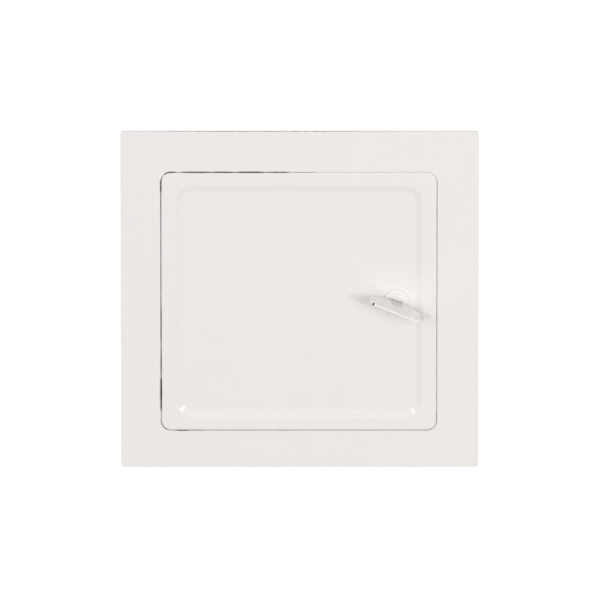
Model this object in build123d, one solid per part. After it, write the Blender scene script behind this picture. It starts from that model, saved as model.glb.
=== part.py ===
from build123d import *
from build123d.topology import SkipClean
from math import cos, sin, radians
import os

# Chimney cleanout door, 150 mm class. Millimetres.
# +X right, +Y into the wall, +Z up. The origin is the centre of the opening, on the wall plane,
# which is the rear face of the front plate.

# --- front plate and its opening ---
PLATE_X = (-99.7, 100.5)
PLATE_Z = (-98.8, 101.0)
PLATE_T = 1.5
PLATE_CORNER = 1.8
OPEN_X = (-77.43, 77.47)
OPEN_Z = (-77.03, 77.05)
OPEN_R = 6.0
BEARING_IN = 82.5          # half of the smallest wall opening: the plate bears on the wall outside of it

# --- wall sleeve ---
SLEEVE_IN = 79.0           # half of the inside width and height
SLEEVE_T = 1.0
SLEEVE_DEPTH = 56.0
SLEEVE_BEND = 2.0          # inside bend radius

# --- masonry anchors ---
ANCHOR_W = 16.0
ANCHOR_T = 1.5
ANCHOR_Z = 45.0
ANCHOR_Y = (14.0, 50.0)
ANCHOR_REACH = 98.4
RIVET_Y = (26.5, 40.0)
RIVET_R = 2.0

# --- pivots ---
HINGE_X = -64.75
HINGE_Y = 3.5
PIN_R = 2.0
PIN_HOLE_R = 2.05
PIN_HEAD_R = 3.2

# --- stop strips and seal ---
STOP_Y = 10.0
STOP_T = 1.2
STOP_IN = 71.5
STOP_DEPTH = 20.0
STOP_START = HINGE_X + 10.5
DRAUGHT_Y = 17.2           # seat of the deeper strip on the hinge side, past the door's swing
DRAUGHT_DEPTH = 22.5
SEAL_Y = (7.8, 10.0)
SEAL_BAND = (73.3, 78.3)

# --- door pan ---
DOOR_X = (-77.08, 77.28)
DOOR_Z = (-76.85, 76.75)
DOOR_FRONT = -1.5
DOOR_BACK = 7.5
DOOR_T = 1.2
DOOR_R = 5.6
DOOR_EDGE = 1.0
FIELD_X = (-69.2, 69.4)    # outer edge of the bevel round the sunk field
FIELD_Z = (-69.0, 68.9)
FIELD_R = 10.2
FIELD_BEVEL = 3.9
FIELD_DEPTH = 1.6
FIELD_SOFT = 2.5           # rounding of the bevel's two edges

# --- inside the door ---
BOARD_Y = (1.35, 6.25)
SHIELD_Y = (6.3, 7.3)
STUD_X = (-56.0, 56.0)
STUD_Z = (-58.0, 58.0)
STUD_R = 2.0
STUD_END = 11.9

# --- lock ---
LOCK_X = 54.6
ROSETTE_R = 6.85
ROSETTE_T = 1.2
BARREL_R = 5.0
BARREL_END = 10.4
JOURNAL_R = 2.8
BORE_R = 2.85
COLLAR_R = 2.3
COLLAR_END = -2.6
TANG_W = 4.6              # flat tang that the key fits
TANG_T = 1.4
SQUARE_BACK = 3.9
SPINDLE_FRONT = -9.8
TONGUE_Y = (12.0, 14.0)
TONGUE_REACH = 22.0
TONGUE_W = 10.0
WING_TILT = -21.5          # the wing's angle from horizontal, right side down
TONGUE_REST = WING_TILT - 90.0
TURN = -TONGUE_REST        # quarter turn and a little more, to point at the keeper

# --- key ---
SOCKET_Y = (-11.35, -3.5)
SOCKET_W = 5.9
SOCKET_T = 2.4
SOCKET_HOLE_W = 4.8
SOCKET_HOLE_T = 1.6
SOCKET_HOLE_END = -10.2
WING_L = 32.8
WING_T = 1.2
WING_WIDEST = -14.0        # where the thumb plate is at its full length
WING_BACK = 10.5           # how far it reaches towards the door from there
WING_FRONT = 7.9           # and away from it
WING_SKEW = 0.06           # the front edge runs slightly out of square


def block(x0, x1, y0, y1, z0, z1):
    return Pos((x0 + x1) / 2, (y0 + y1) / 2, (z0 + z1) / 2) * Box(
        abs(x1 - x0), abs(y1 - y0), abs(z1 - z0)
    )


def facing(x, y, z):
    # a work plane square to the door, whose sketches grow into the wall
    return Plane(origin=(x, y, z), x_dir=(1, 0, 0), z_dir=(0, 1, 0))


def outline(xs, zs, r, y):
    plane = facing((xs[0] + xs[1]) / 2, y, (zs[0] + zs[1]) / 2)
    return plane * RectangleRounded(xs[1] - xs[0], zs[1] - zs[0], r)


def slab(xs, zs, ys, r):
    return extrude(outline(xs, zs, r, ys[0]), amount=ys[1] - ys[0])


def rod(x, z, y0, y1, r):
    return extrude(facing(x, y0, z) * Circle(r), amount=y1 - y0)


def upright(x, y, z0, z1, r):
    return extrude(Plane(origin=(x, y, z0)) * Circle(r), amount=z1 - z0)


def hexagon(x, z, y0, y1, flats):
    return extrude(
        facing(x, y0, z) * RegularPolygon(flats / 2, 6, major_radius=False),
        amount=y1 - y0,
    )


def square_bar(x, z, y0, y1, side, turn):
    bar = extrude(facing(0, y0, 0) * Rectangle(side, side), amount=y1 - y0)
    return Pos(x, 0, z) * Rot(0, -turn, 0) * bar


def at_y(shape, y, tol=1e-3):
    # the edges that lie wholly in one plane parallel to the wall
    return shape.edges().filter_by(
        lambda e: abs(e.bounding_box().min.Y - y) < tol
        and abs(e.bounding_box().max.Y - y) < tol
    )


def grow(pair, d):
    return (pair[0] - d, pair[1] + d)


parts = {}

# ---------------------------------------------------------------- frame
plate = slab(PLATE_X, PLATE_Z, (-PLATE_T, 0), PLATE_CORNER) - slab(
    OPEN_X, OPEN_Z, (-PLATE_T - 1, 1), OPEN_R
)
# the rear face is two rings: the outer one bears on the wall, the sleeve is welded to the inner one
welding_zone = slab(
    (-BEARING_IN, BEARING_IN), (-BEARING_IN, BEARING_IN), (-0.5, 0), 3.6
) - slab(OPEN_X, OPEN_Z, (-1, 1), OPEN_R)
with SkipClean():
    plate = plate + welding_zone
parts["front_plate"] = plate

S = SLEEVE_IN
SO = SLEEVE_IN + SLEEVE_T
sleeve = slab((-SO, SO), (-SO, SO), (0, SLEEVE_DEPTH), SLEEVE_BEND + SLEEVE_T) - slab(
    (-S, S), (-S, S), (-1, SLEEVE_DEPTH + 1), SLEEVE_BEND
)
for z0, z1 in ((S - 1, SO + 1), (-SO - 1, -S + 1)):
    sleeve -= upright(HINGE_X, HINGE_Y, z0, z1, PIN_R + 0.03)


def along_x(x0, x1, y, z, r):
    return extrude(
        Plane(origin=(x0, y, z), x_dir=(0, 1, 0), z_dir=(1 if x1 > x0 else -1, 0, 0))
        * Circle(r),
        amount=abs(x1 - x0),
    )


rivets = []
for side, side_name in ((-1, "left"), (1, "right")):
    for level, level_name in ((1, "upper"), (-1, "lower")):
        zc = level * ANCHOR_Z
        # a strip that lies on the sleeve, is bent outwards, and ends in a swallow tail
        y0, y1 = ANCHOR_Y
        bend_in = 1.5
        with BuildPart() as strip:
            with BuildSketch(Plane.XY.offset(zc - ANCHOR_W / 2)):
                with BuildLine():
                    Polyline(
                        (SO, y0),
                        (SO + ANCHOR_T, y0),
                        (SO + ANCHOR_T, y1 - ANCHOR_T),
                        (ANCHOR_REACH, y1 - ANCHOR_T),
                        (ANCHOR_REACH, y1),
                        (SO, y1),
                        close=True,
                    )
                make_face()
            extrude(amount=ANCHOR_W)
            inner = strip.edges().filter_by(Axis.Z).filter_by(
                lambda e: abs(e.center().X - SO - ANCHOR_T) < 0.01
                and abs(e.center().Y - y1 + ANCHOR_T) < 0.01
            )
            fillet(inner, bend_in)
            outer = strip.edges().filter_by(Axis.Z).filter_by(
                lambda e: abs(e.center().X - SO) < 0.01
                and abs(e.center().Y - y1) < 0.01
            )
            fillet(outer, bend_in + ANCHOR_T)
        body = strip.part
        with BuildPart() as notch:
            with BuildSketch(Plane(origin=(0, y1 - 4, 0), x_dir=(1, 0, 0), z_dir=(0, 1, 0))):
                with BuildLine():
                    Polyline(
                        (ANCHOR_REACH + 1, -zc - 4.6),
                        (ANCHOR_REACH - 5.5, -zc),
                        (ANCHOR_REACH + 1, -zc + 4.6),
                        close=True,
                    )
                make_face()
            extrude(amount=6)
        body = body - notch.part
        for y in RIVET_Y:
            body -= along_x(SO - 1, SO + ANCHOR_T + 1, y, zc, RIVET_R + 0.05)
            hole = along_x(S - 1, SO + 1, y, zc, RIVET_R + 0.05)
            sleeve -= hole if side > 0 else mirror(hole, about=Plane.YZ)
            rivet = along_x(S - 0.3, SO + ANCHOR_T + 0.3, y, zc, RIVET_R)
            head_in = fillet(
                along_x(S - 1.2, S, y, zc, 3.5).edges().filter_by(
                    lambda e: abs(e.center().X - S + 1.2) < 0.01
                ),
                1.0,
            )
            x_out = SO + ANCHOR_T
            head_out = fillet(
                along_x(x_out, x_out + 1.1, y, zc, 3.2).edges().filter_by(
                    lambda e: abs(e.center().X - x_out - 1.1) < 0.01
                ),
                0.9,
            )
            rivet = rivet + head_in + head_out
            rivets.append(rivet if side > 0 else mirror(rivet, about=Plane.YZ))
        if side < 0:
            body = mirror(body, about=Plane.YZ)
        parts[f"anchor_{level_name}_{side_name}"] = body
parts["wall_sleeve"] = sleeve
parts["anchor_rivets"] = Compound(children=rivets)

# stop strips: angles whose seat faces the room and whose other leg is welded along the sleeve
lip = STOP_Y + STOP_T


def soften(shape, test, r):
    found = shape.edges().filter_by(test)
    return fillet(found, r) if len(found) else shape


top_strip = block(STOP_START, S, STOP_Y, lip, STOP_IN, S) + block(
    STOP_START, S, STOP_Y, STOP_DEPTH, S - STOP_T, S
)
top_strip = soften(
    top_strip,
    lambda e: abs(e.center().Y - STOP_Y) < 0.01 and abs(e.center().Z - S) < 0.01,
    0.9,
)
corner_cut = block(S - 2.5, S + 1, STOP_Y - 1, STOP_DEPTH + 1, S - 2.5, S + 1) - rod(
    S - 2.5, S - 2.5, STOP_Y - 1, STOP_DEPTH + 1, 2.5
)
top_strip -= corner_cut
parts["stop_strip_top"] = top_strip
parts["stop_strip_bottom"] = mirror(top_strip, about=Plane.XY)
right_strip = block(STOP_IN, S, STOP_Y, lip, -STOP_IN + 0.2, STOP_IN - 0.2) + block(
    S - STOP_T, S, STOP_Y, STOP_DEPTH, -STOP_IN + 0.2, STOP_IN - 0.2
)
right_strip = soften(
    right_strip,
    lambda e: abs(e.center().Y - STOP_Y) < 0.01 and abs(e.center().X - S) < 0.01,
    0.9,
)
parts["stop_strip_right"] = right_strip

# the strip on the hinge side only keeps the draught out: the door's edge turns in front of it
left_strip = block(
    -S, -STOP_IN, DRAUGHT_Y, DRAUGHT_Y + STOP_T, -STOP_IN + 0.2, STOP_IN - 0.2
) + block(
    -S, -S + STOP_T, DRAUGHT_Y, DRAUGHT_DEPTH, -STOP_IN + 0.2, STOP_IN - 0.2
)
left_strip = soften(
    left_strip,
    lambda e: abs(e.center().Y - DRAUGHT_Y) < 0.01 and abs(e.center().X + S) < 0.01,
    0.9,
)
parts["draught_strip_left"] = left_strip

# the seal is one length of flat rope, laid round the three strips
s0, s1 = SEAL_BAND
x_start = STOP_START + 0.5
seal = (
    block(x_start, 40, *SEAL_Y, s0, s1)
    + block(x_start, 40, *SEAL_Y, -s1, -s0)
    + slab((0, s1), (-s1, s1), SEAL_Y, 4.5)
) - slab((x_start - 5, s0), (-s0, s0), (SEAL_Y[0] - 1, SEAL_Y[1] + 1), 1.5)
seal = fillet(
    at_y(seal, SEAL_Y[0]),
    0.7,
)
parts["seal_rope"] = seal

# pivot pins are driven in from outside the sleeve, each through a spacer
for sign, name, door_edge in ((1, "upper", DOOR_Z[1]), (-1, "lower", -DOOR_Z[0])):
    end = door_edge - 3.1
    pin = upright(HINGE_X, HINGE_Y, end, SO + 0.3, PIN_R)
    pin = chamfer(
        pin.edges().filter_by(lambda e: abs(e.center().Z - end) < 0.01), 0.4
    )
    head = upright(HINGE_X, HINGE_Y, SO, SO + 1.4, PIN_HEAD_R)
    head = fillet(
        head.edges().filter_by(lambda e: abs(e.center().Z - SO - 1.4) < 0.01), 0.8
    )
    pin = pin + head
    gap = 0.10 if sign > 0 else 0.05
    washer = upright(HINGE_X, HINGE_Y, door_edge + gap, S, 3.2) - upright(
        HINGE_X, HINGE_Y, door_edge - 1, S + 1, PIN_R + 0.08
    )
    if sign < 0:
        pin = mirror(pin, about=Plane.XY)
        washer = mirror(washer, about=Plane.XY)
    parts[f"hinge_pin_{name}"] = pin
    parts[f"hinge_washer_{name}"] = washer

# ---------------------------------------------------------------- door
shell = slab(DOOR_X, DOOR_Z, (DOOR_FRONT, DOOR_BACK), DOOR_R)
shell = fillet(at_y(shell, DOOR_FRONT), DOOR_EDGE)
field_y = DOOR_FRONT + FIELD_DEPTH
recess = loft(
    [
        outline(FIELD_X, FIELD_Z, FIELD_R, DOOR_FRONT),
        outline(
            grow(FIELD_X, -FIELD_BEVEL),
            grow(FIELD_Z, -FIELD_BEVEL),
            FIELD_R - FIELD_BEVEL,
            field_y,
        ),
    ],
    ruled=True,
)
k = 0.24                    # the bevel's rear face stands this far outside its front face
inside = slab(
    grow(DOOR_X, -DOOR_T),
    grow(DOOR_Z, -DOOR_T),
    (DOOR_FRONT + DOOR_T, DOOR_BACK + 1),
    DOOR_R - DOOR_T,
)
boss = loft(
    [
        outline(grow(FIELD_X, k), grow(FIELD_Z, k), FIELD_R + k, DOOR_FRONT + DOOR_T),
        outline(
            grow(FIELD_X, k - FIELD_BEVEL),
            grow(FIELD_Z, k - FIELD_BEVEL),
            FIELD_R + k - FIELD_BEVEL,
            field_y + DOOR_T,
        ),
    ],
    ruled=True,
)
panel = (shell - recess) - (inside - boss)


def field_edges(shape, y, reach):
    found = at_y(shape, y)
    return found.filter_by(
        lambda e: abs(e.center().X) < reach and abs(e.center().Z) < reach
    )


panel = fillet(field_edges(panel, DOOR_FRONT, 71), FIELD_SOFT)
panel = fillet(field_edges(panel, field_y, 67), FIELD_SOFT)
panel = fillet(field_edges(panel, DOOR_FRONT + DOOR_T, 71), FIELD_SOFT - DOOR_T)
panel = fillet(field_edges(panel, field_y + DOOR_T, 67), FIELD_SOFT)
panel -= rod(LOCK_X, 0, -3, 4, BARREL_R + 0.1)
for z0, z1 in ((70, 80), (-80, -70)):
    panel -= upright(HINGE_X, HINGE_Y, z0, z1, PIN_HOLE_R)
parts["door_panel"] = panel

for sign, name, z in (
    (1, "upper", DOOR_Z[1] - DOOR_T),
    (-1, "lower", DOOR_Z[0] + DOOR_T),
):
    z0, z1 = sorted((z, z - sign * 2.0))
    piece = block(-71.0, -52.0, DOOR_FRONT + DOOR_T, 6.1, z0, z1)
    piece = fillet(
        piece.edges().filter_by(Axis.Z).filter_by(lambda e: e.center().Y > 5), 1.5
    )
    piece -= upright(HINGE_X, HINGE_Y, z0 - 1, z1 + 1, PIN_HOLE_R)
    parts[f"pivot_plate_{name}"] = piece

studs_at = [(x, z) for x in STUD_X for z in STUD_Z]
board = slab((-74.3, 74.6), (-72.9, 72.7), BOARD_Y, 3.5)
board -= rod(LOCK_X, 0, 0, 8, BARREL_R + 0.6)
shield = slab((-75.2, 75.55), (-75.1, 74.95), SHIELD_Y, 4.4)
shield -= rod(LOCK_X, 0, 5, 9, BARREL_R + 0.2)
for x, z in studs_at:
    board -= rod(x, z, 0, 8, STUD_R + 0.3)
    shield -= rod(x, z, 5, 9, STUD_R + 0.3)
parts["insulation_board"] = board
parts["heat_shield"] = shield

studs, washers, nuts = [], [], []
stud_base = field_y + DOOR_T
for x, z in studs_at:
    stud = rod(x, z, stud_base, STUD_END, STUD_R)
    studs.append(
        chamfer(
            stud.edges().filter_by(lambda e: abs(e.center().Y - STUD_END) < 0.01), 0.4
        )
    )
    washers.append(
        rod(x, z, SHIELD_Y[1], SHIELD_Y[1] + 0.8, 4.5)
        - rod(x, z, 6, 10, STUD_R + 0.15)
    )
    nut_y = (SHIELD_Y[1] + 0.8, SHIELD_Y[1] + 4.0)
    nut = hexagon(x, z, *nut_y, 7.0)
    # turned corners
    cone = loft(
        [
            facing(x, nut_y[1] - 0.7, z) * Circle(4.3),
            facing(x, nut_y[1], z) * Circle(3.4),
        ],
        ruled=True,
    )
    nut = nut & (rod(x, z, nut_y[0], nut_y[1] - 0.7, 4.3) + cone)
    nuts.append(nut - rod(x, z, 6, 13, STUD_R + 0.02))
parts["weld_studs"] = Compound(children=studs)
parts["stud_washers"] = Compound(children=washers)
parts["stud_nuts"] = Compound(children=nuts)

# the bush's flange is the round rosette on the field
rosette = rod(LOCK_X, 0, field_y - ROSETTE_T, field_y, ROSETTE_R)
rosette = fillet(at_y(rosette, field_y - ROSETTE_T), 0.6)
bush = rosette + rod(LOCK_X, 0, field_y, BARREL_END, BARREL_R)
bush -= rod(LOCK_X, 0, -5, 15, BORE_R)
bush = chamfer(
    at_y(bush, BARREL_END).filter_by(
        lambda e: e.bounding_box().size.X > 2 * BARREL_R - 0.1
    ),
    0.5,
)
parts["lock_bush"] = bush

# a ring under the lock nut with two bent lugs, one at each end of the tongue's turn
ring_y = (SHIELD_Y[1], SHIELD_Y[1] + 0.8)
stop = rod(LOCK_X, 0, *ring_y, 9.8)
for angle in (50.0, TONGUE_REST - 50.0):
    lug = block(8.6, 9.75, ring_y[0], 13.8, -2.0, 2.0)
    lug = fillet(
        lug.edges().filter_by(Axis.X).filter_by(lambda e: e.center().Y > 10), 0.8
    )
    stop += Pos(LOCK_X, 0, 0) * Rot(0, -angle, 0) * lug
stop -= rod(LOCK_X, 0, 5, 15, BARREL_R + 0.05)
parts["tongue_stop"] = stop

lock_nut_y = (ring_y[1], ring_y[1] + 2.2)
lock_nut = hexagon(LOCK_X, 0, *lock_nut_y, 14.0)
lock_nut = lock_nut & (
    rod(LOCK_X, 0, lock_nut_y[0], lock_nut_y[1] - 0.8, 8.15)
    + loft(
        [
            facing(LOCK_X, lock_nut_y[1] - 0.8, 0) * Circle(8.15),
            facing(LOCK_X, lock_nut_y[1], 0) * Circle(6.9),
        ],
        ruled=True,
    )
)
lock_nut -= rod(LOCK_X, 0, 5, 13, BARREL_R + 0.02)
parts["lock_nut"] = lock_nut

# ---------------------------------------------------------------- latch
front_face = field_y - ROSETTE_T
tang = extrude(
    facing(0, SPINDLE_FRONT, 0) * Rectangle(TANG_W, TANG_T),
    amount=COLLAR_END + 0.2 - SPINDLE_FRONT,
)
tang = chamfer(at_y(tang, SPINDLE_FRONT), 0.3)
collar = rod(0, 0, COLLAR_END, front_face - 0.08, COLLAR_R)
collar = fillet(at_y(collar, COLLAR_END), 0.4)
spindle = Pos(LOCK_X, 0, 0) * Rot(0, -WING_TILT, 0) * (tang + collar)
spindle += rod(LOCK_X, 0, front_face - 0.08, TONGUE_Y[0], JOURNAL_R)
spindle += square_bar(LOCK_X, 0, TONGUE_Y[0], TONGUE_Y[1], SQUARE_BACK, WING_TILT)
thread = rod(LOCK_X, 0, TONGUE_Y[1], 18.6, 1.95)
thread = chamfer(at_y(thread, 18.6), 0.4)
spindle += thread
parts["lock_spindle"] = spindle

# the tongue: an eye round the spindle and a straight arm with a rounded, eased tip
arm_x = TONGUE_REACH
tongue = rod(0, 0, *TONGUE_Y, 6.5) + slab(
    (0, arm_x), (-TONGUE_W / 2, TONGUE_W / 2), TONGUE_Y, 3.2
)
tongue += block(0, 8, *TONGUE_Y, -TONGUE_W / 2, TONGUE_W / 2)
tongue = fillet(
    at_y(tongue, TONGUE_Y[0]).filter_by(lambda e: e.center().X > 9), 0.6
)
tongue = Pos(LOCK_X, 0, 0) * Rot(0, -TONGUE_REST, 0) * tongue
tongue -= square_bar(LOCK_X, 0, 10, 16, SQUARE_BACK + 0.1, WING_TILT)
parts["latch_tongue"] = tongue

# a dished spring washer between the bush and the tongue
dish = 0.7
outer_cone = loft(
    [
        facing(LOCK_X, BARREL_END + 0.08, 0) * Circle(4.9),
        facing(LOCK_X, BARREL_END + 0.08 + dish, 0) * Circle(3.6),
    ],
    ruled=True,
)
inner_cone = loft(
    [
        facing(LOCK_X, BARREL_END + 0.08 + 0.8, 0) * Circle(4.9),
        facing(LOCK_X, TONGUE_Y[0], 0) * Circle(3.6),
    ],
    ruled=True,
)
spring = (
    rod(LOCK_X, 0, BARREL_END + 0.08, BARREL_END + 0.88, 4.9) + inner_cone
) - loft(
    [
        facing(LOCK_X, BARREL_END + 0.08, 0) * Circle(4.4),
        facing(LOCK_X, BARREL_END + 0.08 + dish, 0) * Circle(3.1),
    ],
    ruled=True,
)
spring -= rod(LOCK_X, 0, 10, 13, JOURNAL_R + 0.1)
parts["spring_washer"] = spring

nut_y = (TONGUE_Y[1], TONGUE_Y[1] + 3.2)
tongue_nut = hexagon(LOCK_X, 0, *nut_y, 7.0) & (
    rod(LOCK_X, 0, nut_y[0], nut_y[1] - 0.7, 4.3)
    + loft(
        [
            facing(LOCK_X, nut_y[1] - 0.7, 0) * Circle(4.3),
            facing(LOCK_X, nut_y[1], 0) * Circle(3.4),
        ],
        ruled=True,
    )
)
tongue_nut -= rod(LOCK_X, 0, 13, 19, 1.97)
parts["tongue_nut"] = tongue_nut

# ---------------------------------------------------------------- key
# a flattened tube, closed and rounded at the front, lies in a slot of the thumb plate
socket_r = SOCKET_W / 2
round_y = SOCKET_Y[0] + socket_r


def tongue_shape(y_end, low, high):
    # the socket's outline seen square to the thumb plate, open towards the door
    with BuildPart() as made:
        with BuildSketch(Plane.XY.offset(low)):
            with BuildLine():
                Line((-socket_r, round_y), (-socket_r, y_end))
                Line((-socket_r, y_end), (socket_r, y_end))
                Line((socket_r, y_end), (socket_r, round_y))
                RadiusArc((socket_r, round_y), (-socket_r, round_y), socket_r)
            make_face()
        extrude(amount=high - low)
    return made.part


hub = tongue_shape(SOCKET_Y[1], -SOCKET_T / 2, SOCKET_T / 2)
rims = hub.edges().filter_by(
    lambda e: abs(abs(e.center().Z) - SOCKET_T / 2) < 0.01
    and e.center().Y < SOCKET_Y[1] - 0.1
)
hub = fillet(rims, 0.35)
hub -= extrude(
    facing(0, SOCKET_HOLE_END, 0) * Rectangle(SOCKET_HOLE_W, SOCKET_HOLE_T), amount=12
)

# the thumb plate stands square to the door, in the plane of the spindle's axis:
# nearly straight in front, and drawn in towards the door behind
points = []
steps = 36
for i in range(steps):
    t = radians(360.0 * i / steps)
    cx, cy = cos(t), sin(t)
    power, reach = (2.1, WING_BACK) if cy >= 0 else (4.4, WING_FRONT)
    px = WING_L / 2 * abs(cx) ** (2 / power) * (1 if cx >= 0 else -1)
    py = reach * abs(cy) ** (2 / power) * (1 if cy >= 0 else -1)
    if cy < 0:
        py -= WING_SKEW * px * abs(cy) ** 0.5
    points.append((px, WING_WIDEST + py))
with BuildPart() as wing_part:
    with BuildSketch(Plane.XY.offset(-WING_T / 2)):
        with BuildLine():
            Spline(*points, periodic=True)
        make_face()
    extrude(amount=WING_T)
    fillet(wing_part.edges(), 0.45)
wing = wing_part.part - tongue_shape(0, -2, 2)
place = Pos(LOCK_X, 0, 0) * Rot(0, -WING_TILT, 0)
parts["key_socket"] = place * hub
parts["key_wing"] = place * wing

os.makedirs("parts", exist_ok=True)
for name, shape in parts.items():
    export_step(shape, f"parts/{name}.step")
    print(name, len(shape.solids()), round(shape.volume, 1))
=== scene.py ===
import math

import bpy
import bmesh
from mathutils import Matrix, Vector


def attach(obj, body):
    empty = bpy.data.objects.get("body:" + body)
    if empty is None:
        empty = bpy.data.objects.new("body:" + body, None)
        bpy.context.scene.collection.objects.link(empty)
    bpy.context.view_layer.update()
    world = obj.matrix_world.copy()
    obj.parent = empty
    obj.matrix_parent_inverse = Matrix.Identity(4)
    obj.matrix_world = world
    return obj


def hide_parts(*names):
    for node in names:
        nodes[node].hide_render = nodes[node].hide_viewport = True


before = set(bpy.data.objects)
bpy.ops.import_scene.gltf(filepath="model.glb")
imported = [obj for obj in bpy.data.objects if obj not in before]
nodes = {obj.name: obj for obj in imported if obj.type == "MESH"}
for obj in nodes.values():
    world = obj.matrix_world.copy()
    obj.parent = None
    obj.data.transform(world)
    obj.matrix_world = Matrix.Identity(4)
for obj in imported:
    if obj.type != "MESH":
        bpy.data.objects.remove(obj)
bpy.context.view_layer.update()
scene = bpy.context.scene
MM = 0.001

# ------------------------------------------------------------------ camera
ELEVATION = math.radians(20.0)
AIM = Vector((0.67, -1.5, 0.95)) * MM
DISTANCE = 14.0
cam_data = bpy.data.cameras.new("camera")
cam_data.sensor_width = 36.0
cam_data.lens = 1500.5
cam_data.clip_start = 0.5
cam_data.clip_end = 60.0
camera = bpy.data.objects.new("camera", cam_data)
scene.collection.objects.link(camera)
back = Vector((0.0, -math.cos(ELEVATION), math.sin(ELEVATION)))
camera.location = AIM + back * DISTANCE
camera.rotation_mode = "QUATERNION"
camera.rotation_quaternion = (-back).to_track_quat("-Z", "Y")
scene.camera = camera
scene.view_settings.view_transform = "Standard"
scene.view_settings.look = "None"
scene.view_settings.exposure = 0.0
scene.view_settings.gamma = 1.0

# ------------------------------------------------------------------ light
FRONT_ROOM = 0.335       # how bright the room is in front of the door
FRONT_SLOPE = 0.19       # how much brighter it is overhead there
BACK_ROOM = 0.74         # and behind it
BACK_SLOPE = 0.22
world = bpy.data.worlds.new("studio")
scene.world = world
world.use_nodes = True
wt = world.node_tree
for n in list(wt.nodes):
    wt.nodes.remove(n)
w_out = wt.nodes.new("ShaderNodeOutputWorld")
w_mix = wt.nodes.new("ShaderNodeMixShader")
w_path = wt.nodes.new("ShaderNodeLightPath")
w_seen = wt.nodes.new("ShaderNodeBackground")
w_seen.inputs["Color"].default_value = (1.0, 1.0, 1.0, 1.0)
w_seen.inputs["Strength"].default_value = 1.05
w_room = wt.nodes.new("ShaderNodeBackground")
w_co = wt.nodes.new("ShaderNodeTexCoord")
w_sep = wt.nodes.new("ShaderNodeSeparateXYZ")
wt.links.new(w_co.outputs["Generated"], w_sep.inputs[0])


def w_math(op, a, b=None, c=None):
    n = wt.nodes.new("ShaderNodeMath")
    n.operation = op
    for i, v in enumerate((a, b, c)):
        if v is None:
            continue
        if isinstance(v, (int, float)):
            n.inputs[i].default_value = v
        else:
            wt.links.new(v, n.inputs[i])
    return n.outputs[0]


# the room is dimmer in front of the door than behind it, where it falls from a bright ceiling to a darker floor
behind = w_math("SMOOTH_MAX", w_math("MULTIPLY", w_sep.outputs["Y"], 5.0), 0.0, 0.3)
behind = w_math("MINIMUM", behind, 1.0)
front = w_math("MULTIPLY_ADD", w_sep.outputs["Z"], FRONT_SLOPE, FRONT_ROOM)
rear = w_math("MULTIPLY_ADD", w_sep.outputs["Z"], BACK_SLOPE, BACK_ROOM)
level = w_math("ADD", w_math("MULTIPLY", behind, rear),
               w_math("MULTIPLY", w_math("SUBTRACT", 1.0, behind), front))
wt.links.new(w_math("MAXIMUM", level, 0.08), w_room.inputs["Strength"])
w_room.inputs["Color"].default_value = (1.0, 1.0, 1.0, 1.0)
wt.links.new(w_path.outputs["Is Camera Ray"], w_mix.inputs[0])
wt.links.new(w_room.outputs[0], w_mix.inputs[1])
wt.links.new(w_seen.outputs[0], w_mix.inputs[2])
wt.links.new(w_mix.outputs[0], w_out.inputs[0])


def softbox(name, toward, distance, size, strength, aim=(0.0, 0.0, 0.0), mirrored=True):
    """A square light in the direction that toward gives. Strength is the share that it adds to a
    white card facing it, where 1 would be full white."""
    d = Vector(toward).normalized()
    data = bpy.data.lights.new(name, "AREA")
    data.shape = "RECTANGLE"
    data.size, data.size_y = size
    data.energy = strength * math.pi * math.pi * distance * distance
    ob = bpy.data.objects.new(name, data)
    scene.collection.objects.link(ob)
    ob.location = Vector(aim) + d * distance
    ob.rotation_mode = "QUATERNION"
    ob.rotation_quaternion = d.to_track_quat("Z", "Y")
    ob.visible_camera = False
    ob.visible_glossy = mirrored
    return ob


softbox("front_fill", (0.0, -1.0, 0.10), 2.6, (1.6, 1.6), 0.235, mirrored=False)
softbox("key_light", (0.67, -1.0, 0.148), 1.6, (0.09, 0.09), 0.085)
softbox("key_soft", (0.50, -1.0, 0.30), 2.3, (0.70, 0.70), 0.192, mirrored=False)
softbox("left_light", (-0.515, -1.0, 0.287), 1.6, (0.09, 0.09), 0.075)
softbox("left_soft", (-0.42, -1.0, 0.36), 2.3, (0.70, 0.70), 0.127, mirrored=False)
softbox("back_left_light", (-0.8, 0.85, 0.15), 1.7, (0.7, 0.5), 0.30)
softbox("back_right_light", (1.0, 0.65, -0.1), 1.8, (0.35, 0.9), 0.15)

# ------------------------------------------------------------------ floor
floor_mesh = bpy.data.meshes.new("floor")
bm = bmesh.new()
bmesh.ops.create_circle(bm, cap_ends=True, segments=96, radius=1.0)
bm.to_mesh(floor_mesh)
bm.free()
floor = bpy.data.objects.new("floor", floor_mesh)
floor.location = (0.0, 0.0, -1.3)
scene.collection.objects.link(floor)


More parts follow.
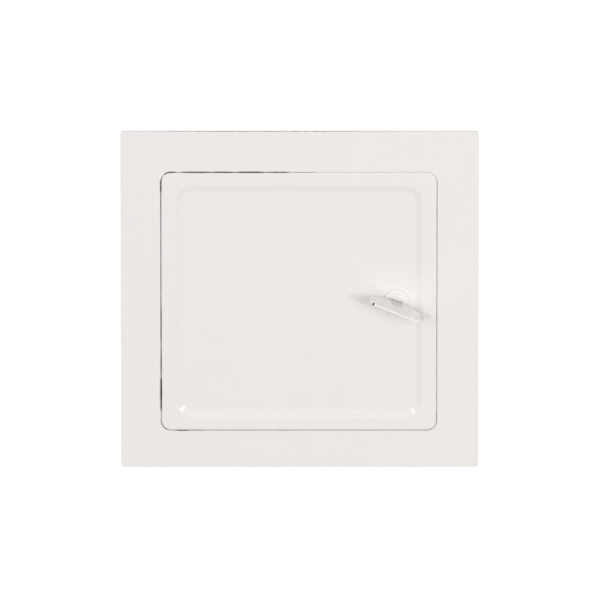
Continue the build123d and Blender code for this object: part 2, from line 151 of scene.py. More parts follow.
# ------------------------------------------------------------------ materials
class Graph:
    """A material's nodes, built with short calls. Lengths are in metres, in the object's own space."""

    def __init__(self, name):
        self.m = bpy.data.materials.new(name)
        self.m.use_nodes = True
        self.t = self.m.node_tree
        self.shader = self.t.nodes["Principled BSDF"]
        self.co = self.new("ShaderNodeTexCoord").outputs["Object"]
        self._xyz = None

    def new(self, kind, **props):
        n = self.t.nodes.new(kind)
        for k, v in props.items():
            setattr(n, k, v)
        return n

    def put(self, socket, value):
        if value is None:
            return
        if isinstance(value, bpy.types.NodeSocket):
            self.t.links.new(value, socket)
        elif isinstance(value, (tuple, list)) and len(value) == 3 and socket.type == "RGBA":
            socket.default_value = (*value, 1.0)
        else:
            socket.default_value = value

    @property
    def xyz(self):
        if self._xyz is None:
            n = self.new("ShaderNodeSeparateXYZ")
            self.put(n.inputs[0], self.co)
            self._xyz = n.outputs
        return self._xyz

    def math(self, op, a, b=None, c=None, clamp=False):
        n = self.new("ShaderNodeMath", operation=op, use_clamp=clamp)
        for i, v in enumerate((a, b, c)):
            self.put(n.inputs[i], v)
        return n.outputs[0]

    def place(self, scale=(1, 1, 1), turn=(0, 0, 0), move=(0, 0, 0), co=None):
        n = self.new("ShaderNodeMapping")
        self.put(n.inputs["Vector"], self.co if co is None else co)
        n.inputs["Scale"].default_value = scale
        n.inputs["Rotation"].default_value = turn
        n.inputs["Location"].default_value = move
        return n.outputs[0]

    def noise(self, scale, detail=2.0, rough=0.5, co=None, warp=0.0, out="Fac"):
        n = self.new("ShaderNodeTexNoise")
        self.put(n.inputs["Vector"], self.co if co is None else co)
        n.inputs["Scale"].default_value = scale
        n.inputs["Detail"].default_value = detail
        n.inputs["Roughness"].default_value = rough
        n.inputs["Distortion"].default_value = warp
        return n.outputs[out]

    def cells(self, scale, feature="F1", out="Distance", rnd=1.0, co=None):
        n = self.new("ShaderNodeTexVoronoi", feature=feature)
        self.put(n.inputs["Vector"], self.co if co is None else co)
        n.inputs["Scale"].default_value = scale
        n.inputs["Randomness"].default_value = rnd
        return n.outputs[out]

    def wave(self, scale, kind="BANDS", direction="X", warp=0.0, detail=2.0, co=None, profile="SIN"):
        n = self.new("ShaderNodeTexWave", wave_type=kind, wave_profile=profile)
        if kind == "BANDS":
            n.bands_direction = direction
        self.put(n.inputs["Vector"], self.co if co is None else co)
        n.inputs["Scale"].default_value = scale
        n.inputs["Distortion"].default_value = warp
        n.inputs["Detail"].default_value = detail
        return n.outputs["Fac"]

    def ramp(self, fac, lo, hi, a=0.0, b=1.0, smooth=True):
        n = self.new("ShaderNodeMapRange", clamp=True)
        n.interpolation_type = "SMOOTHSTEP" if smooth else "LINEAR"
        self.put(n.inputs["Value"], fac)
        n.inputs["From Min"].default_value = lo
        n.inputs["From Max"].default_value = hi
        n.inputs["To Min"].default_value = a
        n.inputs["To Max"].default_value = b
        return n.outputs["Result"]

    def mix(self, fac, a, b, mode="MIX"):
        n = self.new("ShaderNodeMix", data_type="RGBA", blend_type=mode)
        n.clamp_factor = True
        self.put(n.inputs["Factor"], fac)
        self.put([s for s in n.inputs if s.name == "A" and s.type == "RGBA"][0], a)
        self.put([s for s in n.inputs if s.name == "B" and s.type == "RGBA"][0], b)
        return [s for s in n.outputs if s.type == "RGBA"][0]

    def bump(self, height, distance, strength=1.0, normal=None):
        n = self.new("ShaderNodeBump")
        self.put(n.inputs["Height"], height)
        n.inputs["Distance"].default_value = distance
        n.inputs["Strength"].default_value = strength
        self.put(n.inputs["Normal"], normal)
        return n.outputs[0]

    def slope(self):
        n = self.new("ShaderNodeNewGeometry")
        s = self.new("ShaderNodeSeparateXYZ")
        self.put(s.inputs[0], n.outputs["Normal"])
        return s.outputs

    def edge(self, radius=0.0004):
        """1 where the surface turns sharply within radius, 0 where it is flat."""
        bev = self.new("ShaderNodeBevel", samples=6)
        bev.inputs["Radius"].default_value = radius
        geo = self.new("ShaderNodeNewGeometry")
        dot = self.new("ShaderNodeVectorMath", operation="DOT_PRODUCT")
        self.put(dot.inputs[0], bev.outputs[0])
        self.put(dot.inputs[1], geo.outputs["Normal"])
        return self.ramp(dot.outputs["Value"], 0.995, 0.86)

    def frame_distance(self, cx, cz, hx, hz, r):
        """Signed distance, in metres, from a rounded rectangle in the wall's plane; outside is positive."""
        x, _, z = self.xyz[0], self.xyz[1], self.xyz[2]
        dx = self.math("SUBTRACT", self.math("ABSOLUTE", self.math("SUBTRACT", x, cx)), hx - r)
        dz = self.math("SUBTRACT", self.math("ABSOLUTE", self.math("SUBTRACT", z, cz)), hz - r)
        ox, oz = self.math("MAXIMUM", dx, 0.0), self.math("MAXIMUM", dz, 0.0)
        out = self.math("SQRT", self.math("ADD", self.math("MULTIPLY", ox, ox), self.math("MULTIPLY", oz, oz)))
        ins = self.math("MINIMUM", self.math("MAXIMUM", dx, dz), 0.0)
        return self.math("SUBTRACT", self.math("ADD", out, ins), r)

    def blob(self, x, z, rx, rz, soft=0.0):
        """1 at (x, z) in the wall's plane, falling to 0 at the radii."""
        dx = self.math("DIVIDE", self.math("SUBTRACT", self.xyz[0], x), rx)
        dz = self.math("DIVIDE", self.math("SUBTRACT", self.xyz[2], z), rz)
        q = self.math("ADD", self.math("MULTIPLY", dx, dx), self.math("MULTIPLY", dz, dz))
        return self.ramp(q, 1.0, soft)

    def most(self, values):
        out = values[0]
        for v in values[1:]:
            out = self.math("MAXIMUM", out, v)
        return out

    def finish(self, color, rough, metallic=0.0, normal=None, **fixed):
        s = self.shader
        self.put(s.inputs["Base Color"], color)
        self.put(s.inputs["Roughness"], rough)
        self.put(s.inputs["Metallic"], metallic)
        self.put(s.inputs["Normal"], normal)
        for k, v in fixed.items():
            s.inputs[k.replace("_", " ")].default_value = v
        return self.m


def paint(node, material):
    ob = nodes[node]
    for i in range(len(ob.material_slots)):
        ob.material_slots[i].material = material


# the seam between the door and the plate, and where it is darkened with brown grime and painted shade: centre x, z,
# half sizes, strength (mm)
SEAM_GRIME_AND_SHADE = [
    (-76.7, 68.8, 2.4, 5.6, 1.3),
    (-77.1, 59.0, 2.0, 4.0, 0.35),
    (-77.2, 42.0, 2.0, 9.0, 0.12),
    (-77.3, 14.0, 2.0, 10.0, 0.25),
    (-77.3, -14.0, 2.2, 16.0, 0.75),
    (-77.3, -36.0, 2.2, 12.0, 0.75),
    (-77.0, -49.5, 3.2, 5.6, 2.0),
    (-76.9, -55.0, 3.4, 6.0, 2.6),
    (-77.2, -61.0, 2.6, 6.0, 1.3),
    (-77.2, -71.5, 2.2, 6.5, 0.45),
    (-72.5, 76.9, 5.5, 2.4, 1.35),
    (-57.0, 76.9, 13.0, 2.4, 1.35),
    (-42.0, 76.9, 10.0, 2.4, 1.45),
    (-27.0, 76.9, 11.0, 2.4, 1.7),
    (-12.0, 76.9, 10.0, 2.2, 1.1),
    (3.0, 76.9, 10.0, 2.2, 0.55),
    (-65.0, -76.9, 5.0, 2.0, 0.85),
    (-56.0, -76.9, 5.0, 2.0, 0.45),
    (-74.0, -75.2, 2.6, 2.4, 0.55),
    (74.0, -75.2, 2.4, 2.4, 0.45),
    (77.3, -8.0, 2.0, 5.0, 0.35),
    (77.3, -69.0, 2.0, 5.0, 0.35),
]
# tiny dark specks baked into the enamel (mm)
SPECKS = [(-90.4, 62.6, 0.45), (87.5, 63.8, 0.4), (51.6, 53.7, 0.4)]
# the key's axis and the slope of its thumb plate
AXIS_X = 54.6 * MM
TILT = math.radians(-21.5)


def enamel(name, seam=False, marks_and_shadows=(), chips=(), edge_wear=0.0, cut_edges=False, ring=False, handled=False):
    g = Graph(name)
    cloud = g.noise(9.0, 2.0, 0.5)
    color = g.mix(g.ramp(cloud, 0.3, 0.7), (0.878, 0.848, 0.837), (0.889, 0.854, 0.832))
    # a faint cooler cast towards the hinge side, and a warmer one low down and on the right
    color = g.mix(g.ramp(g.xyz[0], -0.105, 0.03, 0.30, 0.0), color, (0.865, 0.836, 0.832))
    warm = g.math("MAXIMUM", g.ramp(g.xyz[2], -0.055, -0.095), g.ramp(g.xyz[0], 0.068, 0.10))
    color = g.mix(g.math("MULTIPLY", warm, 0.55), color, (0.889, 0.856, 0.817))
    fine = g.noise(420.0, 3.0, 0.55)
    color = g.mix(g.ramp(fine, 0.62, 0.78, 0.0, 0.07), color, (0.80, 0.765, 0.745))
    # faint cloudy stains and wiped streaks
    wipe = g.noise(26.0, 4.0, 0.6, co=g.place(scale=(0.35, 1.0, 1.0), turn=(0.0, 0.5, 0.0)))
    color = g.mix(g.ramp(wipe, 0.52, 0.80, 0.0, 0.10), color, (0.80, 0.775, 0.75))
    # dust nibs
    nib = g.cells(95.0)
    gate = g.noise(60.0, 1.0, 0.5)
    nibs = g.math("MULTIPLY", g.ramp(nib, 0.045, 0.015), g.ramp(gate, 0.62, 0.68))
    color = g.mix(g.math("MULTIPLY", nibs, 0.08), color, (0.60, 0.54, 0.49))
    rough = g.ramp(g.noise(35.0, 3.0, 0.6), 0.25, 0.75, 0.13, 0.19)
    if seam:
        inner = g.frame_distance(0.00006, -0.00002, 0.07732, 0.07692, 0.0058)
        away = g.math("ABSOLUTE", inner)
        near = g.ramp(away, 0.00095, 0.00012)
        spots = []
        for x, z, rx, rz, k in SEAM_GRIME_AND_SHADE:
            b = g.blob(x * MM, z * MM, rx * MM, rz * MM)
            spots.append(g.math("MULTIPLY", b, k))
        where = g.most(spots)
        ragged = g.ramp(g.noise(900.0, 3.0, 0.65), 0.25, 0.72, 0.60, 1.25)
        seam_grime_and_shade = g.math("MULTIPLY", g.math("MULTIPLY", near, where), ragged, clamp=True)
        # the grime and painted shade sit in the seam itself, and less on the faces beside it
        depth = g.ramp(g.xyz[1], -0.00145, -0.0006, 0.45, 1.0)
        seam_grime_and_shade = g.math("MULTIPLY", seam_grime_and_shade, depth, clamp=True)
        # brown grime and painted shade darken the seam
        seam_grime_shade_tone = g.mix(g.noise(500.0, 2.0, 0.5), (0.11, 0.068, 0.042), (0.035, 0.023, 0.016))
        color = g.mix(g.ramp(seam_grime_and_shade, 0.10, 0.70), color, seam_grime_shade_tone)
        # painted light: the seam's walls are lightened where there is no grime
        seam_painted_light = g.math("MULTIPLY", g.ramp(away, 0.00042, 0.0003), g.math("SUBTRACT", 1.0, g.ramp(where, 0.0, 0.25)))
        color = g.mix(g.math("MULTIPLY", seam_painted_light, g.ramp(g.xyz[1], -0.00149, -0.0013)), color, (0.93, 0.915, 0.905))
        # an even thin darker line along the whole seam, dust and painted shade together
        seam_dust_and_shade = g.math("MULTIPLY", g.ramp(away, 0.0005, 0.0001), g.ramp(g.noise(140.0, 3.0, 0.6), 0.35, 0.75, 0.0, 0.20))
        color = g.mix(seam_dust_and_shade, color, (0.42, 0.37, 0.33))
        rough = g.math("ADD", rough, g.math("MULTIPLY", seam_grime_and_shade, 0.5), clamp=True)
        for x, z, r in SPECKS:
            color = g.mix(g.math("MULTIPLY", g.blob(x * MM, z * MM, r * MM, r * MM), 0.45), color, (0.35, 0.28, 0.23))
    if cut_edges:
        # darker along the plate's upper cut edge, more so left of the middle, and a thin dark line down the right one
        over = g.ramp(g.xyz[2], 0.10080, 0.10098)
        along = g.math("MULTIPLY", g.ramp(g.xyz[0], -0.094, -0.045), g.ramp(g.xyz[0], 0.075, -0.005))
        broken = g.ramp(g.noise(230.0, 4.0, 0.6, co=g.place(scale=(1.0, 0.4, 1.0))), 0.30, 0.66, 0.45, 1.0)
        rim = g.math("MULTIPLY", over, g.math("MULTIPLY", g.math("MULTIPLY_ADD", along, 0.62, 0.08), broken), clamp=True)
        right = g.math("MULTIPLY", g.ramp(g.xyz[0], 0.10015, 0.10045), 0.35)
        rim = g.math("MAXIMUM", rim, g.math("MULTIPLY", right, broken))
        color = g.mix(rim, color, (0.16, 0.13, 0.105))
        # mortar dust and drips on the face that lies on the wall
        unseen = g.ramp(g.xyz[1], -0.00022, -0.00002)
        smear = g.ramp(g.noise(34.0, 5.0, 0.62, co=g.place(scale=(1.0, 1.0, 0.5))), 0.42, 0.68, 0.0, 0.75)
        color = g.mix(g.math("MULTIPLY", smear, unseen), color, (0.47, 0.445, 0.405))
        burnt = g.frame_distance(0.0, 0.0, 0.0802, 0.0802, 0.003)
        heat = g.math("MULTIPLY", g.ramp(g.math("ABSOLUTE", burnt), 0.0042, 0.0006),
                      g.ramp(g.noise(120.0, 3.0, 0.6), 0.35, 0.65, 0.25, 0.85))
        color = g.mix(g.math("MULTIPLY", heat, unseen), color, (0.30, 0.235, 0.17))
        rough = g.math("ADD", rough, g.math("MULTIPLY", g.math("MULTIPLY", smear, unseen), 0.45), clamp=True)
    # dark marks on the face, and painted shadow
    for x, z, rx, rz, k, tone in marks_and_shadows:
        b = g.math("MULTIPLY", g.blob(x * MM, z * MM, rx * MM, rz * MM), k)
        color = g.mix(g.math("MULTIPLY", b, g.ramp(g.xyz[1], 0.0035, 0.0030)), color, tone)
    if ring:
        # painted shade: two near-black spots in the crevice where the rosette meets the field
        for x, z, rx, rz, k in ((AXIS_X - 0.0041, 0.0019, 0.0013, 0.0008, 0.9), (AXIS_X + 0.0030, -0.0002, 0.0012, 0.0009, 0.95)):
            b = g.math("MULTIPLY", g.blob(x, z, rx, rz), k)
            color = g.mix(b, color, (0.05, 0.04, 0.035))
    # painted light: a lighter copy of the enamel brightens the rosette and the key
    if ring or handled:
        color = g.mix(0.7, color, (0.925, 0.895, 0.878))
    if handled:
        # u runs along the thumb plate; painted shade darkens its right end, and the rear edge beside the socket
        u = g.math("ADD", g.math("MULTIPLY", g.math("SUBTRACT", g.xyz[0], AXIS_X), math.cos(TILT)),
                   g.math("MULTIPLY", g.xyz[2], math.sin(TILT)))
        far = g.ramp(g.math("ABSOLUTE", u), 0.0128, 0.0163)
        right_end = g.math("MULTIPLY", far, g.ramp(u, 0.0, 0.001))
        back_part = g.ramp(g.xyz[1], -0.019, -0.014)
        right_end_shade = g.math("MULTIPLY", right_end, g.math("MULTIPLY", back_part, g.ramp(g.noise(700.0, 3.0, 0.6), 0.3, 0.6, 0.5, 0.95)))
        color = g.mix(g.math("MULTIPLY", right_end_shade, 0.50), color, (0.42, 0.37, 0.32))
        # painted shade: a near-black line along the plate's rear edge on both sides of the socket, where it meets the
        # rosette
        rear_edge_shade = g.math("MULTIPLY", g.ramp(g.xyz[1], -0.0044, -0.0038),
                       g.math("MULTIPLY", g.ramp(g.math("ABSOLUTE", u), 0.0056, 0.0042), g.ramp(g.noise(900.0, 2.0, 0.5), 0.3, 0.6, 0.6, 1.0)))
        color = g.mix(g.math("MULTIPLY", rear_edge_shade, 0.85), color, (0.075, 0.06, 0.05))
        rubbed = g.ramp(g.noise(260.0, 3.0, 0.6, co=g.place(scale=(0.4, 1.0, 1.0))), 0.45, 0.75, 0.0, 0.20)
        color = g.mix(rubbed, color, (0.70, 0.68, 0.655))
    for x, y0, z, r in chips:
        dx = g.math("DIVIDE", g.math("SUBTRACT", g.xyz[0], x * MM), r * MM)
        dy = g.math("DIVIDE", g.math("SUBTRACT", g.xyz[1], y0 * MM), r * 1.3 * MM)
        q = g.math("ADD", g.math("MULTIPLY", dx, dx), g.math("MULTIPLY", dy, dy))
        b = g.math("MULTIPLY", g.ramp(q, 1.0, 0.3), g.ramp(g.noise(1500.0, 3.0, 0.6), 0.25, 0.5, 0.7, 1.2), clamp=True)
        color = g.mix(g.ramp(b, 0.35, 0.6), color, (0.030, 0.025, 0.022))
        rough = g.math("ADD", rough, g.math("MULTIPLY", b, 0.3), clamp=True)
    if edge_wear:
        wear = g.math("MULTIPLY", g.edge(0.0003), g.ramp(g.noise(600.0, 3.0, 0.7), 0.56, 0.70, 0.0, edge_wear))
        color = g.mix(wear, color, (0.30, 0.27, 0.25))
    peel = g.noise(330.0, 2.0, 0.45)
    slow = g.noise(70.0, 1.0, 0.4)
    normal = g.bump(peel, 0.000022, 0.30)
    normal = g.bump(slow, 0.00006, 0.22, normal)
    return g.finish(color, rough, 0.0, normal, IOR=1.5)


SHADE = (0.30, 0.27, 0.25)
plate_enamel = enamel("plate_enamel", seam=True, cut_edges=True)
door_enamel = enamel(
    "door_enamel", seam=True,
    marks_and_shadows=[
        # a small dark mark below the key's thumb plate
        (50.2, -8.6, 0.9, 1.5, 0.22, SHADE),
        # painted shadow: a soft shadow right of the thumb plate's right end
        (71.8, -9.5, 1.5, 3.8, 0.10, (0.42, 0.36, 0.31)),
    ],
)
bush_enamel = enamel("bush_enamel", ring=True, edge_wear=0.12)
key_paint = enamel("key_paint", chips=[(41.75, -19.9, 4.9, 0.68)], edge_wear=0.20, handled=True)
paint("front_plate", plate_enamel)
paint("door_panel", door_enamel)
paint("lock_bush", bush_enamel)
paint("key_wing", key_paint)


def socket_steel():
    """The key's socket: a patchy grey, darkened to near black at its rear rim, which is painted shade."""
    g = Graph("socket_paint")
    patch = g.noise(520.0, 4.0, 0.6)
    color = g.mix(g.ramp(patch, 0.35, 0.65), (0.60, 0.585, 0.575), (0.74, 0.72, 0.705))
    # painted shade: the rear rim next to the rosette goes near black
    rim = g.ramp(g.xyz[1], -0.0046, -0.0038)
    color = g.mix(g.math("MULTIPLY", rim, 0.85), color, (0.09, 0.08, 0.075))
    speck = g.ramp(g.noise(1600.0, 3.0, 0.6), 0.62, 0.72)
    color = g.mix(g.math("MULTIPLY", speck, 0.4), color, (0.25, 0.22, 0.20))
    rough = g.ramp(patch, 0.3, 0.7, 0.30, 0.46)
    normal = g.bump(patch, 0.00003, 0.5)
    return g.finish(color, rough, 0.0, normal, IOR=1.5)


paint("key_socket", socket_steel())


def galvanised(name="galvanised_sheet"):
    g = Graph(name)
    warp = g.noise(40.0, 2.0, 0.5, out="Color")
    co = g.new("ShaderNodeVectorMath", operation="MULTIPLY_ADD")
    g.put(co.inputs[0], warp)
    co.inputs[1].default_value = (0.006, 0.006, 0.006)
    g.put(co.inputs[2], g.co)
    spang = g.cells(115.0, out="Color", co=co.outputs[0])
    sep = g.new("ShaderNodeSeparateColor")
    g.put(sep.inputs[0], spang)
    tone = g.ramp(sep.outputs[0], 0.0, 1.0, 0.0, 1.0, smooth=False)
    color = g.mix(tone, (0.47, 0.485, 0.50), (0.66, 0.675, 0.69))
    fern = g.noise(700.0, 3.0, 0.6, co=g.place(scale=(1.0, 0.35, 1.0)))
    color = g.mix(g.ramp(fern, 0.45, 0.75, 0.0, 0.25), color, (0.40, 0.41, 0.42))
    white_rust = g.math("MULTIPLY", g.ramp(g.noise(30.0, 4.0, 0.6), 0.58, 0.74), g.ramp(g.noise(260.0, 3.0, 0.6), 0.4, 0.6))
    color = g.mix(g.math("MULTIPLY", white_rust, 0.45), color, (0.74, 0.75, 0.75))
    # soot towards the flue end
    soot = g.math("MULTIPLY", g.ramp(g.xyz[1], 0.040, 0.074, 0.0, 0.5), g.ramp(g.noise(55.0, 4.0, 0.6), 0.35, 0.7))
    color = g.mix(soot, color, (0.10, 0.095, 0.09))
    rough = g.ramp(sep.outputs[1], 0.0, 1.0, 0.30, 0.50, smooth=False)
    rough = g.math("ADD", rough, g.math("MULTIPLY", g.math("ADD", white_rust, soot), 0.3), clamp=True)
    edge = g.edge(0.0005)
    color = g.mix(g.math("MULTIPLY", edge, 0.35), color, (0.78, 0.79, 0.80))
    normal = g.bump(g.cells(115.0, feature="DISTANCE_TO_EDGE", co=co.outputs[0]), 0.00005, 0.22)
    normal = g.bump(g.noise(22.0, 2.0, 0.5), 0.0008, 0.12, normal)
    return g.finish(color, rough, g.ramp(white_rust, 0.0, 1.0, 0.92, 0.5), normal)


def weld_metal():
    g = Graph("weld_metal")
    tone = g.noise(380.0, 4.0, 0.6)
    color = g.mix(g.ramp(tone, 0.3, 0.7), (0.30, 0.29, 0.28), (0.52, 0.51, 0.50))
    tint = g.ramp(g.noise(90.0, 3.0, 0.6), 0.40, 0.70)
    color = g.mix(g.math("MULTIPLY", tint, 0.55), color, (0.33, 0.20, 0.10))
    blue = g.ramp(g.noise(130.0, 2.0, 0.5), 0.55, 0.75)
    color = g.mix(g.math("MULTIPLY", blue, 0.35), color, (0.17, 0.19, 0.27))
    rough = g.ramp(tone, 0.3, 0.7, 0.36, 0.58)
    return g.finish(color, rough, 0.85, g.bump(g.noise(1500.0, 3.0, 0.6), 0.00004, 0.5))


def hot_rolled():
    g = Graph("hot_rolled_strip")
    scale_tone = g.noise(60.0, 5.0, 0.62, co=g.place(scale=(1.0, 0.45, 1.0)))
    color = g.mix(g.ramp(scale_tone, 0.3, 0.7), (0.105, 0.105, 0.11), (0.235, 0.225, 0.22))
    rust = g.math("MULTIPLY", g.ramp(g.noise(95.0, 4.0, 0.65), 0.54, 0.72), g.ramp(g.noise(620.0, 3.0, 0.6), 0.35, 0.6, 0.4, 1.0))
    color = g.mix(rust, color, (0.26, 0.105, 0.045))
    worn = g.math("MULTIPLY", g.edge(0.0005), g.ramp(g.noise(420.0, 3.0, 0.6), 0.35, 0.6))
    color = g.mix(worn, color, (0.50, 0.49, 0.48))
    rough = g.math("ADD", g.ramp(scale_tone, 0.3, 0.7, 0.38, 0.58), g.math("MULTIPLY", rust, 0.3), clamp=True)
    normal = g.bump(g.noise(300.0, 4.0, 0.6), 0.00008, 0.5)
    return g.finish(color, rough, g.ramp(rust, 0.0, 1.0, 0.85, 0.1), normal)


def zinc(name="zinc_plate", thread=0.0):
    g = Graph(name)
    cloud = g.noise(220.0, 3.0, 0.55)
    color = g.mix(g.ramp(cloud, 0.3, 0.7), (0.60, 0.62, 0.64), (0.74, 0.745, 0.74))
    tint = g.noise(130.0, 1.0, 0.5)
    color = g.mix(g.ramp(tint, 0.5, 0.75, 0.0, 0.35), color, (0.62, 0.60, 0.50))
    dull = g.ramp(g.noise(900.0, 3.0, 0.6), 0.5, 0.72)
    color = g.mix(g.math("MULTIPLY", dull, 0.3), color, (0.42, 0.42, 0.42))
    worn = g.edge(0.0003)
    color = g.mix(g.math("MULTIPLY", worn, 0.4), color, (0.85, 0.85, 0.86))
    rough = g.math("ADD", g.ramp(cloud, 0.3, 0.7, 0.24, 0.36), g.math("MULTIPLY", dull, 0.14), clamp=True)
    normal = g.bump(g.noise(1400.0, 2.0, 0.5), 0.00002, 0.4)
    if thread:
        # a screw thread: bands along the axis, which climb by one pitch a turn
        turns = g.wave(math.pi / 10.0 / thread, direction="Y", detail=0.0, profile="TRI")
        normal = g.bump(turns, 0.00022, 0.9, normal)
        color = g.mix(g.ramp(turns, 0.45, 0.05, 0.0, 0.6), color, (0.16, 0.155, 0.15))
    return g.finish(color, rough, 0.95, normal)


def plain_steel():
    g = Graph("plain_bright_steel")
    lines = g.noise(500.0, 3.0, 0.6, co=g.place(scale=(1.0, 0.08, 1.0)))
    color = g.mix(g.ramp(lines, 0.3, 0.7), (0.42, 0.415, 0.41), (0.60, 0.595, 0.585))
    oil = g.ramp(g.noise(110.0, 3.0, 0.6), 0.5, 0.75)
    color = g.mix(g.math("MULTIPLY", oil, 0.5), color, (0.24, 0.20, 0.16))
    rust = g.ramp(g.noise(420.0, 4.0, 0.65), 0.66, 0.78)
    color = g.mix(g.math("MULTIPLY", rust, 0.6), color, (0.25, 0.12, 0.06))
    color = g.mix(g.math("MULTIPLY", g.edge(0.0003), 0.4), color, (0.78, 0.77, 0.76))
    rough = g.math("ADD", g.ramp(lines, 0.3, 0.7, 0.28, 0.42), g.math("MULTIPLY", rust, 0.3), clamp=True)
    # the spindle's round front end is enamelled with the door; the flat tang is darkened, painted shade where it shows
    # between the collar and the key's socket
    painted = g.math("MULTIPLY", g.ramp(g.xyz[1], 0.0, -0.0004), g.ramp(g.xyz[1], -0.00285, -0.00265))
    color = g.mix(painted, color, (0.90, 0.875, 0.86))
    tang_shade = g.ramp(g.xyz[1], -0.00265, -0.00285)
    color = g.mix(g.math("MULTIPLY", tang_shade, 0.6), color, (0.13, 0.12, 0.11))
    metal = g.math("MULTIPLY", g.ramp(rust, 0.0, 1.0, 0.95, 0.3), g.math("SUBTRACT", 1.0, painted))
    normal = g.bump(lines, 0.00002, 0.5)
    return g.finish(color, rough, metal, normal)


def sooted_sheet():
    g = Graph("sooted_sheet")
    grain = g.noise(260.0, 3.0, 0.6, co=g.place(scale=(1.0, 1.0, 0.05)))
    color = g.mix(g.ramp(grain, 0.3, 0.7), (0.50, 0.505, 0.51), (0.61, 0.61, 0.61))
    # heat tint, then soot that is thicker low down and round the edge
    tint = g.noise(16.0, 2.0, 0.5)
    color = g.mix(g.ramp(tint, 0.5, 0.75, 0.0, 0.35), color, (0.46, 0.38, 0.27))
    rim = g.frame_distance(0.0, 0.0, 0.0754, 0.0751, 0.004)
    low = g.ramp(g.xyz[2], 0.06, -0.075, 0.10, 0.60)
    soft = g.ramp(rim, -0.022, -0.001, 0.0, 0.45)
    patch = g.ramp(g.noise(38.0, 5.0, 0.62), 0.36, 0.70)
    behind = g.ramp(g.xyz[1], 0.0066, 0.0072)
    soot = g.math("MULTIPLY", g.math("MULTIPLY", g.math("ADD", low, soft), patch), behind, clamp=True)
    color = g.mix(soot, color, (0.045, 0.042, 0.040))
    fine = g.ramp(g.noise(800.0, 2.0, 0.5), 0.45, 0.7, 0.0, 0.2)
    color = g.mix(g.math("MULTIPLY", fine, behind), color, (0.10, 0.09, 0.085))
    rough = g.math("ADD", g.ramp(grain, 0.3, 0.7, 0.32, 0.42), g.math("MULTIPLY", soot, 0.45), clamp=True)
    color = g.mix(g.math("MULTIPLY", g.edge(0.0004), 0.35), color, (0.72, 0.72, 0.72))
    normal = g.bump(grain, 0.000015, 0.5)
    normal = g.bump(g.noise(14.0, 2.0, 0.5), 0.0006, 0.10, normal)
    return g.finish(color, rough, g.ramp(soot, 0.0, 1.0, 0.92, 0.1), normal)


def fibre_board():
    g = Graph("mineral_board")
    mat = g.noise(600.0, 5.0, 0.7, co=g.place(scale=(1.0, 0.25, 1.0), turn=(0.2, 0.0, 0.5)))
    cross = g.noise(650.0, 5.0, 0.7, co=g.place(scale=(0.25, 1.0, 1.0), turn=(0.0, 0.4, -0.3)))
    both = g.math("MULTIPLY", g.math("ADD", mat, cross), 0.5)
    color = g.mix(g.ramp(both, 0.35, 0.65), (0.60, 0.54, 0.42), (0.80, 0.76, 0.66))
    shot = g.ramp(g.cells(900.0), 0.12, 0.05)
    color = g.mix(g.math("MULTIPLY", shot, 0.5), color, (0.30, 0.27, 0.22))
    normal = g.bump(both, 0.0004, 0.8)
    return g.finish(color, g.ramp(both, 0.3, 0.7, 0.85, 1.0), 0.0, normal, Specular_IOR_Level=0.2)


def rope_fibre():
    g = Graph("braided_fibre")
    strand = g.noise(1500.0, 3.0, 0.6, co=g.place(scale=(1.0, 1.0, 0.3), turn=(0.0, 0.7, 0.0)))
    color = g.mix(g.ramp(strand, 0.3, 0.7), (0.55, 0.53, 0.48), (0.80, 0.785, 0.74))
    stain = g.ramp(g.noise(45.0, 4.0, 0.6), 0.45, 0.75)
    color = g.mix(g.math("MULTIPLY", stain, 0.6), color, (0.22, 0.20, 0.175))
    normal = g.bump(strand, 0.0002, 0.7)
    return g.finish(color, g.ramp(strand, 0.3, 0.7, 0.8, 0.95), 0.0, normal, Specular_IOR_Level=0.25, Sheen_Weight=0.2)


sheet_zinc = galvanised()
strip_steel = hot_rolled()
bright_zinc = zinc()
threaded_zinc = zinc("threaded_zinc", thread=0.0007)
bright_steel = plain_steel()
shield_steel = sooted_sheet()
board_fibre = fibre_board()
rope_glass = rope_fibre()
for n in ("wall_sleeve", "stop_strip_top", "stop_strip_bottom", "stop_strip_right", "draught_strip_left"):
    paint(n, sheet_zinc)
for n in ("anchor_upper_left", "anchor_lower_left", "anchor_upper_right", "anchor_lower_right"):
    paint(n, strip_steel)
for n in (
    "anchor_rivets", "hinge_pin_upper", "hinge_pin_lower", "hinge_washer_upper", "hinge_washer_lower",
    "stud_washers", "stud_nuts", "tongue_stop", "lock_nut", "tongue_nut",
):
    paint(n, bright_zinc)
paint("weld_studs", threaded_zinc)
for n in ("lock_spindle", "spring_washer", "latch_tongue"):
    paint(n, bright_steel)
for n in ("heat_shield", "pivot_plate_upper", "pivot_plate_lower"):
    paint(n, shield_steel)
paint("insulation_board", board_fibre)
paint("seal_rope", rope_glass)


# ------------------------------------------------------------------ added pieces
def strip_mesh(name, rows, closed=False):
    """A mesh from rows of points, each joined to the next, with smooth shading and capped ends."""
    verts = [tuple(p) for row in rows for p in row]
    k = len(rows[0])
    faces = []
    for i in range(len(rows) - 1):
        for j in range(k if closed else k - 1):
            a, b = i * k + j, i * k + (j + 1) % k
            faces.append((a, b, b + k, a + k))
    if closed:
        faces.append(tuple(reversed(range(k))))
        faces.append(tuple((len(rows) - 1) * k + j for j in range(k)))
    mesh = bpy.data.meshes.new(name)
    mesh.from_pydata(verts, [], faces)
    mesh.validate()
    for poly in mesh.polygons:
        poly.use_smooth = True
    ob = bpy.data.objects.new(name, mesh)
    scene.collection.objects.link(ob)
    return ob


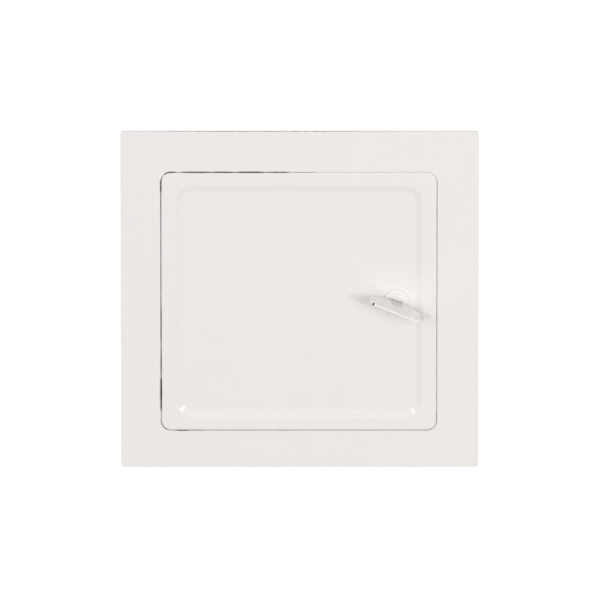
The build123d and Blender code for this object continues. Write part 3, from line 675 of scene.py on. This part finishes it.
def weld_bead(name, middle, along, outward, length, seed):
    """A rippled stitch weld in the corner between the plate's rear face and the sleeve."""
    middle, along, outward = Vector(middle), Vector(along), Vector(outward)
    deep = Vector((0.0, 1.0, 0.0))
    n, k = int(length / 0.00022), 11
    rows = []
    for i in range(n + 1):
        t = i / n
        s = (t - 0.5) * length
        taper = min(1.0, min(t, 1.0 - t) * 9.0) ** 0.5
        row = []
        for j in range(k):
            a = math.pi / 2 * j / (k - 1)
            ripple = (s / 0.00105 + 0.30 * math.sin(2.0 * a) + 0.08 * math.sin(seed + s * 900.0)) % 1.0
            wander = 1.0 + 0.07 * math.sin(seed * 1.7 + s * 410.0) + 0.05 * math.sin(seed * 2.3 + s * 1270.0)
            r = 0.00145 * taper * wander * (0.94 + 0.13 * (1.0 - ripple) ** 0.7) * (1.0 - 0.17 * math.sin(2.0 * a))
            row.append(middle + along * s + outward * (r * math.cos(a)) + deep * (r * math.sin(a)))
        row.append(middle + along * s - outward * 0.0002 + deep * 0.00002)
        rows.append(row)
    ob = strip_mesh(name, rows, closed=True)
    ob.data.materials.append(weld_steel)
    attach(ob, "frame")
    return ob


weld_steel = weld_metal()
SLEEVE = 0.080
for k, at in enumerate((-0.052, 0.0, 0.052)):
    shift = (0.0016, -0.0011, 0.0007)[k]
    weld_bead(f"weld_left_{k + 1}", (-SLEEVE, 0.0, at + shift), (0, 0, 1), (-1, 0, 0), 0.023, 1.0 + k)
    weld_bead(f"weld_right_{k + 1}", (SLEEVE, 0.0, at - shift), (0, 0, 1), (1, 0, 0), 0.023, 4.0 + k)
    weld_bead(f"weld_top_{k + 1}", (at - shift, 0.0, SLEEVE), (1, 0, 0), (0, 0, 1), 0.023, 7.0 + k)
    weld_bead(f"weld_bottom_{k + 1}", (at + shift, 0.0, -SLEEVE), (1, 0, 0), (0, 0, -1), 0.023, 10.0 + k)


def seal_route(step):
    """The middle line of the flat rope: along the top strip, down the right one, back along the bottom."""
    x0, mid, r = -0.05375, 0.0758, 0.0024
    points = []

    def run(a, b):
        d = (Vector(b) - Vector(a))
        n = max(1, int(d.length / step))
        for i in range(n):
            points.append((Vector(a) + d * (i / n), d.normalized()))

    def turn(cx, cz, a0, a1):
        n = 8
        for i in range(n):
            a = a0 + (a1 - a0) * i / n
            side = 1.0 if a1 > a0 else -1.0
            points.append((Vector((cx + r * math.cos(a), cz + r * math.sin(a))),
                           Vector((-math.sin(a) * side, math.cos(a) * side))))

    run((x0, mid), (mid - r, mid))
    turn(mid - r, mid - r, math.pi / 2, 0.0)
    run((mid, mid - r), (mid, -mid + r))
    turn(mid - r, -mid + r, 0.0, -math.pi / 2)
    run((mid - r, -mid), (x0, -mid))
    points.append((Vector((x0, -mid)), Vector((-1.0, 0.0))))
    return points


def braid():
    """A flat braid: slanting strands that go over and under each other in a chequered pattern."""
    width, back, front = 0.00245, 0.00995, 0.00815
    route = seal_route(0.00030)
    lines = 30
    rows = []
    s = 0.0
    last = None
    for p, d in route:
        if last is not None:
            s += (p - last).length
        last = p
        side = Vector((-d.y, d.x))
        ragged = 0.00005 * math.sin(s * 2100.0) + 0.00004 * math.sin(s * 5300.0 + 1.0)
        row = []
        for j in range(lines + 1):
            v = -1.0 + 2.0 * j / lines
            crown = (1.0 - abs(v) ** 3.2) ** 0.5
            a = s / 0.0031 + v * 0.80
            b = s / 0.0031 - v * 0.80
            over = math.sin(2 * math.pi * a) * math.sin(2 * math.pi * b)
            rib_a = abs(math.sin(math.pi * 3.0 * a))
            rib_b = abs(math.sin(math.pi * 3.0 * b))
            pick = 0.5 + 0.5 * math.tanh(over * 4.0)
            h = pick * rib_a + (1.0 - pick) * rib_b
            w = width + ragged
            y = front + (back - front) * (1.0 - crown) - 0.00034 * h * crown
            q = p + side * (v * w)
            row.append((q.x, y, q.y))
        for v in (1.0, -1.0):
            q = p + side * (v * width * 0.96)
            row.append((q.x, 0.00999, q.y))
        rows.append(row)
    ob = strip_mesh("seal_braid", rows, closed=True)
    ob.data.materials.append(rope_glass)
    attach(ob, "frame")
    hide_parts("seal_rope")
    return ob


braid()

g = Graph("pale_floor")
f_tone = g.noise(3.0, 4.0, 0.6)
floor_mesh.materials.append(
    g.finish(g.mix(f_tone, (0.80, 0.80, 0.80), (0.86, 0.86, 0.86)), g.ramp(f_tone, 0.3, 0.7, 0.6, 0.75), 0.0,
             g.bump(g.noise(40.0, 3.0, 0.5), 0.002, 0.2))
)
